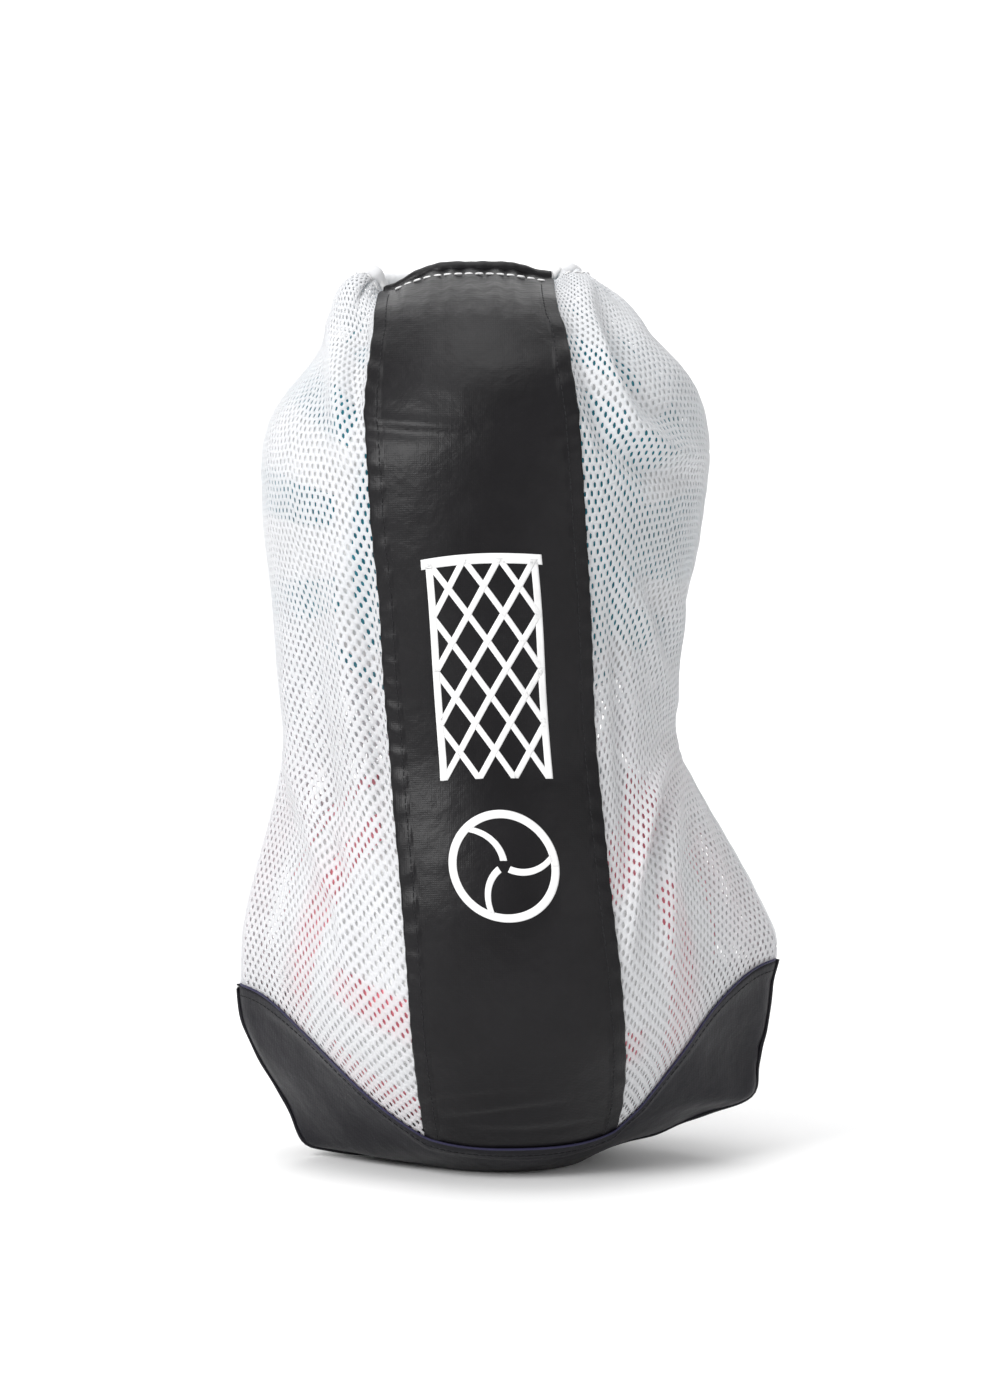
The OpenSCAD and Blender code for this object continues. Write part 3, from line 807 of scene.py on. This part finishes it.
# ---------------------------------------------------------------- cord, hem and lock
LOCK_ORIGIN = np.array([-20.0, 46.0, 442.0])
LOCK_TILT = math.radians(-30)
FREE_CORD = [(-5, 1, 0.4), (-3.8, 5, 1), (-3, 9, 4), (-2.4, 13, 7.6), (-2.15, 17, 9.3),
             (-2.15, 22, 9.5), (-2.15, 30, 9.5)]
KNOT = (0, 34.3, 9.5)
BRAID_LAY = 9.0                 # the braid repeats at this distance along the cord
SPRING_X, SPRING_Y, SPRING_Z = (-11.4, -6.4), 22, 9.5
SPRING_TURNS = 4.5


def lock_frame(p):
    c, s = math.cos(LOCK_TILT), math.sin(LOCK_TILT)
    return LOCK_ORIGIN + np.array([p[0], p[1] * c - p[2] * s, p[1] * s + p[2] * c])


def rim(j0, j1, row=ROWS, step=1.0):
    """The mouth's rim between two columns as an even path, with the cloth's normals."""
    cols = np.arange(round(j0 * STEPS), round(j1 * STEPS) + 1) % (COLS * STEPS)
    r = row * STEPS
    k = min(int(r), ROWS * STEPS - 1)
    f = r - k
    p = GRID[k, cols] * (1 - f) + GRID[k + 1, cols] * f
    n = NORMAL[k, cols]
    s = run_length(p)
    t = np.linspace(0, s[-1], int(s[-1] / step) + 1)
    return read_off(t, s, p), read_off(t, s, n)


def soften(path, rounds, closed=False):
    """A path smoothed by moving each point towards the middle of its neighbours."""
    for _ in range(rounds):
        mid = (np.roll(path, 1, 0) + np.roll(path, -1, 0)) / 2
        if not closed:
            mid[0], mid[-1] = path[0], path[-1]
        path = path + 0.5 * (mid - path)
    return path


def capped(verts, faces, sides):
    """Close both ends of an open tube with a fan of quads."""
    last = len(verts) - sides
    fans = []
    for base, flip in ((0, False), (last, True)):
        ids = base + np.arange(sides)
        for k in range(1, sides - 1, 2):
            quad = [ids[0], ids[(k + 2) % sides], ids[k + 1], ids[k]]
            fans.append(quad[::-1] if flip else quad)
    return verts, np.concatenate([faces, np.array(fans)])


def tube(name, path, radius, sides, mat, closed=False):
    """A tube as an object, with its ends closed unless it is a loop."""
    made = tube_mesh(path, radius, sides, closed)
    return new_object(name, *(made if closed else capped(*made, sides)), mat)


def braided(path, r, sides):
    """A cord's closed tube with the diamond pattern of its braid."""
    a = np.arange(sides)[None] * 2 * np.pi / sides
    twist = 2 * np.pi * run_length(path)[:, None] / BRAID_LAY
    swell = np.sin(4 * a + twist) * np.sin(4 * a - twist)
    return capped(*tube_mesh(path, r * (1 + 0.045 * swell), sides), sides)


def make_cord():
    path, _ = rim(40, 80)
    crown(new_object("cord_loop", *braided(soften(path, 4), 2.0, 12), MATS["cord"]),
          "cord_white", "drawcord_front")
    parts, faces, base = [], [], 0
    knot = np.array(lock_frame(KNOT))
    for side in (1, -1):
        inside, _ = rim(36 - side * 4, 36 - side * 0.6) if side > 0 else rim(36.6, 40)
        inside = inside[::6] if side > 0 else inside[::-1][::6]
        free = [lock_frame((side * p[0], p[1], p[2])) for p in FREE_CORD]
        tail = [lock_frame((side * 1.2, 33, 9.5)), lock_frame((side * 2.6, 39.5, 8.4)),
                lock_frame((side * 4.2, 45, 5.6))]
        path = smooth_path(np.concatenate([inside[:-1], free, tail]), 0.7)
        v, f = braided(path, 1.8, 16)
        parts.append(v)
        faces.append(f + base)
        base += len(v)
    rides(new_object("cord_ends", np.concatenate(parts), np.concatenate(faces), MATS["cord"]),
          "mouth_back", "cord_white", "drawcord_back")
    t = np.linspace(0, 2 * np.pi, 121)[:-1]
    loop = np.stack([np.sin(t) + 2 * np.sin(2 * t), np.cos(t) - 2 * np.cos(2 * t), -1.6 * np.sin(3 * t)], -1)
    rot = np.array(Matrix.Rotation(LOCK_TILT, 3, "X"))
    tied = tube("cord_knot_tied", knot + 1.05 * loop @ rot.T, np.full(120, 1.9), 14, MATS["cord"],
                closed=True)
    rides(tied, "mouth_back", "cord_white", "cord_knot")


HEM_R, HEM_SIDES = 3.75, 20


def make_hem():
    """The rolled hem: a soft tunnel round the mouth, puckered by the stitching below it."""
    for name, j0, j1, mat, slot, nodes in (
            ("panel_hem", 7.8, 16.2, "panel", "panel_nylon", ["front_hem"]),
            ("mesh_hem", 16.15, 55.85, "mesh_double", "mesh_cloth",
             ["left_hem", "right_hem", "back_hem"])):
        path, _ = rim(j0, j1, step=0.9)
        n = len(path)
        s = np.arange(n) * 0.9
        tuck, roll = np.zeros(n), np.zeros(n)
        if name == "mesh_hem":
            # Its two ends go in behind the panel's hem, and it is thicker at its left corner.
            tuck = bump(s, 0, 10.0) + bump(s, s[-1], 10.0)
            roll = 1.3 * bump(s, 19.0, 13.0)
            path = path + tuck[:, None] * np.array([0.0, 2.4, -0.8])
        path = soften(path, 36)
        rng = np.random.default_rng(31)
        pucker = sum(rng.normal() * 0.11 * np.sin(2 * np.pi * s / w + rng.uniform(0, 6.28))
                     for w in (5.3, 7.1, 11.0, 17.0))
        a = np.arange(HEM_SIDES) * 2 * np.pi / HEM_SIDES
        r = HEM_R + (pucker + roll - 0.9 * tuck)[:, None] + 0.15 * np.sin(2 * a[None] + s[:, None] * 0.21)
        crown(tube(name, path, r, HEM_SIDES, MATS[mat]), slot, *nodes)
    path, normal = rim(8.25, 15.75, row=30.95, step=0.5)
    piece = stitches("hem_stitching_panel", soften(path, 3) + normal, normal, 5.3, 4.1, 1.15,
                     MATS["white_thread"])
    crown(piece, "white_thread", "hem_stitches")
    path, normal = rim(16.3, 55.7, row=31.05, step=0.5)
    piece = stitches("hem_stitching_mesh", soften(path, 3) + normal * 0.25, normal, 5.3, 4.1, 1.0,
                     MATS["white_thread"])
    crown(piece, "white_thread")


def make_lock():
    for name, mat in (("cord_lock_barrel", "plastic"), ("cord_lock_plunger", "plastic"),
                      ("cord_eyelets", "metal"),
                      ("upper_ball_bladder", "inner"), ("lower_ball_bladder", "inner"),
                      ("upper_ball_valve", "valve"), ("lower_ball_valve", "valve")):
        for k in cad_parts[name].material_slots:
            k.material = MATS[mat]
    # The spring between the barrel's bottom and the button, built at one length with closed end turns.
    t = np.linspace(0, 1, 120)
    end_flat = np.clip((t * SPRING_TURNS - 0.75) / (SPRING_TURNS - 1.5), 0, 1)
    x = SPRING_X[0] + 0.4 + end_flat * (SPRING_X[1] - SPRING_X[0] - 0.8)
    turn = 2 * np.pi * SPRING_TURNS * t
    ring = np.stack([x, SPRING_Y + 3.4 * np.cos(turn), SPRING_Z + 3.4 * np.sin(turn)], -1)
    path = np.array([lock_frame(p) for p in ring])
    coil = tube("cord_lock_coil", path, np.full(120, 0.38), 8, MATS["steel"])
    rides(coil, "mouth_back", "spring_steel", "cord_lock_spring")
    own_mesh(coil)


# ---------------------------------------------------------------- panel
PANEL_CREASES = [(376, 0.03, 1.0), (369, -0.02, 0.5), (38, 0.05, 0.9), (30, -0.04, 0.7), (46, 0.1, 0.5)]


def ramp(x, a, b):
    """0 at a, 1 at b, and smooth between them."""
    t = np.clip((x - a) / (b - a), 0, 1)
    return t * t * (3 - 2 * t)


def panel_surface():
    g, n = even_patch(5.85, 31.7, 7.88, 16.12, 300, 120)
    width = np.linalg.norm(np.diff(g, axis=1), axis=2).sum(1)[:, None]
    u = np.linspace(0, 1, g.shape[1])[None] * width
    edge = np.minimum(u, width - u)
    x, z = g[..., 0], g[..., 2]
    rng = np.random.default_rng(5)
    d = 0.75 + 0.45 * ramp(edge, 8.6, 7.9)
    d -= 0.22 * np.exp(-((edge - 7.0) / 0.7) ** 2)
    d += 0.34 * ramp(edge, 10, 7) * np.sin(z * 2 * np.pi / 13 + 2.2 * np.sin(z * 0.05 + x * 0.1))
    for zc, tilt, depth in PANEL_CREASES:
        line = z - zc - tilt * x - 2.5 * np.sin(x * 0.045 + zc)
        uneven = 0.45 + 0.55 * np.sin(x * 0.06 + 1.7 * zc)
        d += depth * uneven * (0.7 * bump(line, 3.5, 3.2) - bump(line, 0, 2.4))
    d += 1.6 * np.exp(-(((x - 34) / 17) ** 2 + ((z - 67) / 17) ** 2))
    for _ in range(16):
        w = rng.uniform(0.02, 0.07)
        a = rng.uniform(-0.6, 0.6)
        d += 0.13 * np.sin(w * (z + a * x) + rng.uniform(0, 6.28)) * np.sin(0.02 * x + rng.uniform(0, 6.28))
    top = ramp(z, 425, 440)
    d += top * 0.5 * np.sin(x * 2 * np.pi / 10.6 + 0.8 * np.sin(x * 0.21)) * ramp(edge, 4, 12)
    return g + n * d[..., None], n, width


def make_panel():
    p, n, width = panel_surface()
    piece = shell("panel_cloth", p, n, 0.0, 0.6, MATS["panel"])
    crown(piece, "panel_nylon", "front_panel")
    make_panel_details(p, n, width)


def panel_lines(p, n, inset):
    """The two lines that run up the panel at a set distance in from its side edges."""
    w = np.linalg.norm(np.diff(p, axis=1), axis=2).sum(1)
    rows = np.arange(p.shape[0])
    for frac in (inset / w, 1 - inset / w):
        at_u = frac * (p.shape[1] - 1)
        yield sample(p, rows * 0.99999, at_u), sample(n, rows * 0.99999, at_u)


def make_panel_details(p, n, width):
    made = []
    for k, (path, normal) in enumerate(panel_lines(p, n, 7.0)):
        piece = stitches(f"panel_topstitch_{k + 1}", path[3:-8], normal[3:-8], 3.4, 2.7, 0.62,
                         MATS["black_thread"])
        crown(piece, "black_thread")
        made.append(piece)
    middle = p[:, p.shape[1] // 2, 2]
    rows = np.arange(p.shape[0])
    order = middle < 440

    def place(x, z):
        """Point and normal on the panel, x to the right of its middle line, at height z."""
        v = np.interp(z, middle[order], rows[order])
        u = (0.5 - x / np.interp(v, rows, width[:, 0])) * (p.shape[1] - 1)
        return sample(p, v, u), sample(n, v, u)

    def band(name, xs, zs):
        g, q = place(np.array(xs), np.array(zs))
        piece = shell(name, g, q, 0.07, 0.05, MATS["ink"])
        crown(piece, "white_ink")
        made.append(piece)

    # A plain pictogram: a net above a ball.
    half, low, high, cell, slope = 26.0, 205.0, 313.0, 17.33, 1.5579
    lines = [(0.0, low, high, 0.0, x) for x in (-half, half)]
    for d in (1, -1):
        for k in range(-4, 4):
            x0 = d * (-half + k * cell)
            t0, t1 = sorted((d * (-half * d - x0) * slope, d * (half * d - x0) * slope))
            z0, z1 = max(low, low + t0), min(high, low + t1)
            if z1 - z0 > 8:
                lines.append((d / slope, z0, z1, low, x0))
    for k, (lean, z0, z1, origin, x0) in enumerate(lines):
        s, t = np.meshgrid(np.linspace(0, 1, 60), np.linspace(-1, 1, 5), indexing="ij")
        z = z0 + (z1 - z0) * s
        band(f"print_net_{k + 1}", x0 + lean * (z - origin) + 1.8 * t, z)
    s, t = np.meshgrid(np.linspace(-1, 1, 60), np.linspace(-1, 1, 6), indexing="ij")
    band("print_net_rim", (half + 4) * s, high + 2.5 * t)
    centre, outer = 163.0, 27.0
    a, t = np.meshgrid(np.linspace(0, 2 * np.pi, 160), np.linspace(0, 1, 6), indexing="ij")
    r = outer - 4.0 * t
    band("print_ring", r * np.cos(a), centre + r * np.sin(a))
    for k in range(3):
        s, t = np.meshgrid(np.linspace(0.10, 0.88, 50), np.linspace(0, 1, 6), indexing="ij")
        turn = math.radians(90 + 120 * k) + 0.9 * (s - 0.1)
        across, r = (0.5 - t) * 3.4, outer * s
        band(f"print_curve_{k + 1}", r * np.cos(turn) - across * np.sin(turn),
             centre + r * np.sin(turn) + across * np.cos(turn))
    return made


# ---------------------------------------------------------------- base
BASE_T = 0.6                    # thickness of the base's cloth
OUTSIDE_Z = 0.05                # its underside is this far above the floor
STITCH_DROP = 5.6               # the topstitching is this far below the base's edge


def even_rows(i0, i1, count):
    """Whole rings between two rows, evenly spaced up each column."""
    rows = np.arange(round(i0 * STEPS), round(i1 * STEPS) + 1)
    both = np.concatenate([GRID[rows], NORMAL[rows]], 2)
    both = np.stack([even_path(both[:, c], count) for c in range(both.shape[1])], 1)
    return both[..., :3], unit(both[..., 3:])


def make_base():
    """The black base: a pocket of one cloth with a flat sole, and its edge and seams."""
    g, n = even_rows(0, 6.125, 56)
    count = g.shape[1]
    drop = np.concatenate([np.zeros((1, count)), np.cumsum(np.linalg.norm(np.diff(g, axis=0), axis=2), 0)])
    drop = drop[-1][None] - drop
    lift = 0.35 + 0.55 * ramp(drop, 12, 8) + 0.45 * ramp(drop, 7.2, 6.6)
    lift -= 0.2 * bump(drop, STITCH_DROP, 0.7)
    outer = g + n * lift[..., None]
    outer[..., 2] = np.maximum(outer[..., 2], OUTSIDE_Z)
    inner = outer - n * BASE_T
    inner[..., 2] = np.maximum(inner[..., 2], OUTSIDE_Z + BASE_T)
    rings = 14
    middle = np.array([LOWER[0], LOWER[1], OUTSIDE_Z])
    share = np.linspace(0.03, 1, rings, endpoint=False)[:, None, None]
    sole = middle + (outer[0][None] - middle) * share
    sole[..., 2] = OUTSIDE_Z
    outer = np.concatenate([sole, outer])
    inner = np.concatenate([sole + [0, 0, BASE_T], inner])
    nr = outer.shape[0]
    m = nr * count
    top = grid_faces(nr, count, closed=True)
    c = np.arange(count)
    edge = (nr - 1) * count
    rim_wall = np.stack([edge + (c + 1) % count, edge + c, edge + c + m, edge + (c + 1) % count + m], -1)
    hole_wall = np.stack([c, (c + 1) % count, (c + 1) % count + m, c + m], -1)
    piece = new_object("base_cloth", np.concatenate([outer.reshape(-1, 3), inner.reshape(-1, 3)]),
                       np.concatenate([top[:, ::-1], top + m, rim_wall, hole_wall]), MATS["base"])
    rides(piece, "bag", "base_nylon", "base_front", "base_back", "base_sole")
    level = outer[rings:]
    k = int(np.argmin(np.abs(drop.mean(1) - STITCH_DROP)))
    path = np.array([read_off(STITCH_DROP, drop[::-1, col], level[::-1, col]) for col in range(count)])
    path, nrm = np.concatenate([path, path[:1]]), np.concatenate([n[k], n[k, :1]])
    stitch = stitches("base_topstitch", path, nrm, 3.4, 2.7, 0.6, MATS["black_thread"])
    rides(stitch, "bag", "black_thread")
    piping = tube("base_edge", soften(level[-1], 2, True) - n[-1] * 0.15, np.full(count, 0.62), 10,
                  MATS["base_edge"], closed=True)
    rides(piping, "bag", "base_nylon")
    for name, col in (("right", 0), ("left", COL_SEAM_L * STEPS)):
        line = level[2:, col] + n[2:, col] * 0.4
        rad = 1.0 + 0.15 * np.sin(np.arange(len(line)) * 0.7)
        v, f = capped(*tube_mesh(soften(line, 2), rad, 10), 10)
        v[:, 2] = np.maximum(v[:, 2], OUTSIDE_Z)
        ridge = new_object(f"base_{name}_seam", v, f, MATS["base"])
        rides(ridge, "bag", "base_nylon")


def make_side_seams():
    """The sewn side edges of the mesh: a ridge outside and a turned-in allowance inside."""
    for name, col, inward in (("left", COL_SEAM_L, 1.0), ("right", 0, -1.0)):
        c = col * STEPS
        line, normal = GRID[6 * STEPS:31 * STEPS, c], NORMAL[6 * STEPS:31 * STEPS, c]
        rad = 0.85 + 0.1 * np.sin(np.arange(len(line)) * 0.9)
        ridge = tube(f"{name}_seam_ridge", soften(line + normal * 0.15, 3), rad, 10, MATS["mesh_double"])
        crown(ridge, "mesh_cloth")
        rows = np.arange(3 * STEPS, 11 * STEPS + 1)
        base = GRID[rows, c]
        t = np.linspace(0, 1, 10)[None, :]
        wave = 0.9 * np.sin(np.arange(len(rows)) * 0.23)[:, None] * t
        g = np.stack([base[:, :1] + inward * (2.5 + 7 * t), base[:, 1:2] + wave, base[:, 2:] + 0 * t], -1)
        q = np.zeros_like(g)
        q[..., 1] = -1.0
        piece = shell(f"{name}_seam_allowance", g, q, 0.3, 0.3, MATS["mesh_double"])
        rides(piece, "bag", "mesh_cloth", f"{name}_side_seam")


# ---------------------------------------------------------------- balls
FACES = [((0, -1, 0), (0, 0, 1)), ((0, 1, 0), (0, 0, 1)), ((1, 0, 0), (0, 1, 0)),
         ((-1, 0, 0), (0, 1, 0)), ((0, 0, 1), (1, 0, 0)), ((0, 0, -1), (1, 0, 0))]
CELLS = 90                       # cells along each face of the ball's cube grid
STRIP = CELLS // 3
GROOVE, GROOVE_W = 0.9, 1.5
VALVE_TILT = 62                  # degrees from the ball's top
BAND = (9, 21)                   # the coloured cells of a strip, unless said otherwise


def ball_mesh(name, centre, turn, odd_bands, valve):
    """A ball of six faces, each of three strips that cross the strips of the face beside it."""
    verts, faces, mats = [], [], []
    t = np.linspace(-1, 1, CELLS + 1)
    for k, (axis, along) in enumerate(FACES):
        w, v = np.array(axis, float), np.array(along, float)
        u = np.cross(v, w)
        s, r = np.meshgrid(np.tan(np.pi / 4 * t), np.tan(np.pi / 4 * t), indexing="xy")
        p = unit(w[None, None] + s[..., None] * u + r[..., None] * v)
        a, b = np.meshgrid(t, t, indexing="xy")
        cell = BALL_R * np.pi / 4
        near = np.minimum(np.abs(np.abs(a) - 1 / 3), np.minimum(1 - np.abs(a), 1 - np.abs(b))) * cell
        inside_strip = np.cos(3 * np.pi / 2 * (np.mod(a + 1, 2 / 3) * 3 - 1) / 3) - 0.5
        rad = BALL_R - 0.25 + 0.25 * inside_strip - GROOVE * np.exp(-(near / GROOVE_W) ** 2)
        verts.append((p * rad[..., None]).reshape(-1, 3))
        faces.append(grid_faces(CELLS + 1, CELLS + 1) + k * (CELLS + 1) ** 2)
        on = np.zeros(CELLS, np.int32)
        for strip in range(3):
            low, high = odd_bands.get((k, strip), BAND)
            on[strip * STRIP + low:strip * STRIP + high] = 1
        mats.append(np.broadcast_to(on, (CELLS, CELLS)).ravel())
    verts, faces, mats = np.concatenate(verts), np.concatenate(faces), np.concatenate(mats)
    key = np.round(verts * 50).astype(np.int64)
    _, first, where = np.unique(key, axis=0, return_index=True, return_inverse=True)
    rot = np.array(turn.to_matrix())
    verts = verts[first] @ rot.T
    n = unit(verts)
    from_valve = np.linalg.norm(n - valve, axis=1) * BALL_R
    verts = verts - n * (1.6 * np.exp(-(from_valve / 4.2) ** 4))[:, None]
    obj = new_object(name, verts + centre, where.reshape(-1)[faces], MATS["ball_white"])
    obj.data.materials.append(MATS["ball_teal" if "upper" in name else "ball_pink"])
    obj.data.polygons.foreach_set("material_index", mats)
    return obj


def valve_direction(turn):
    """Where a ball's valve is, as a direction from its centre."""
    a, b = math.radians(VALVE_TILT), math.radians(turn)
    return np.array([math.sin(a) * math.cos(b), math.sin(a) * math.sin(b), math.cos(a)])


def make_balls():
    # The upper ball's front strips stand upright; its right-hand bands are wide.
    upper = ball_mesh("upper_ball_skin", UPPER, Euler((0.06, 0.10, 0.05)),
                      {(0, 2): (5, 30), (0, 0): (7, 21), (2, 1): (2, 28)}, valve_direction(60))
    rides(upper, "upper_ball", "ball_teal", "upper_ball_cover")
    # The lower ball's front strips lie across, tipped down and a little to the right.
    lower = ball_mesh("lower_ball_skin", LOWER, Euler((math.radians(110), math.radians(12), 0)),
                      {(4, 0): (0, 0)}, valve_direction(140))
    rides(lower, "lower_ball", "ball_pink", "lower_ball_cover")


# ---------------------------------------------------------------- stage and light
def make_stage():
    # A seamless sweep: a floor that curves up into a backdrop.
    prof = [(-9.0, 0.0), (2.2, 0.0)] + [(2.2 + 1.2 * math.sin(a), 1.2 - 1.2 * math.cos(a))
                                       for a in np.linspace(0.1, math.pi / 2, 14)] + [(3.4, 4.5)]
    xs = np.linspace(-9, 9, 5)
    g = np.array([[(x, y, z) for x in xs] for y, z in prof]) * 1000
    faces = grid_faces(g.shape[0], g.shape[1])
    mat = material("sweep", (0.93, 0.93, 0.93), 0.85)
    tint(mat, noise(mat, coords(mat), 3, 2), (0.925, 0.925, 0.925), (0.94, 0.94, 0.94))
    sweep = new_object("stage_sweep", g.reshape(-1, 3), faces, mat)
    sweep.location.z = -0.0002


def area(name, where, at_point, size, power, color=(1, 1, 1)):
    data = bpy.data.lights.new(name, "AREA")
    data.shape, data.size, data.size_y = "RECTANGLE", size[0], size[1]
    data.energy, data.color = power, color
    lamp = bpy.data.objects.new(name, data)
    bpy.context.scene.collection.objects.link(lamp)
    lamp.location = where
    lamp.rotation_euler = (Vector(at_point) - Vector(where)).to_track_quat("-Z", "Y").to_euler()


def make_light():
    world = bpy.data.worlds.new("studio")
    world.use_nodes = True
    world.node_tree.nodes["Background"].inputs[0].default_value = (1, 1, 1, 1)
    world.node_tree.nodes["Background"].inputs[1].default_value = 0.60
    bpy.context.scene.world = world
    bpy.context.scene.view_settings.view_transform = "Standard"
    area("key", (-1.5, -1.7, 1.5), (0, 0, 0.24), (1.0, 1.3), 50)
    area("fill", (1.6, -1.6, 0.8), (0, 0, 0.2), (1.2, 1.2), 5)
    area("top", (-0.2, -0.3, 2.2), (0, 0, 0.2), (1.2, 1.2), 14)
    area("backdrop", (0, 1.2, 2.6), (0, 3.2, 0.6), (3.0, 1.0), 60)


make_camera()
make_cord()
make_balls()
make_nets()
make_panel()
make_base()
make_side_seams()
make_hem()
make_lock()
make_stage()
make_light()
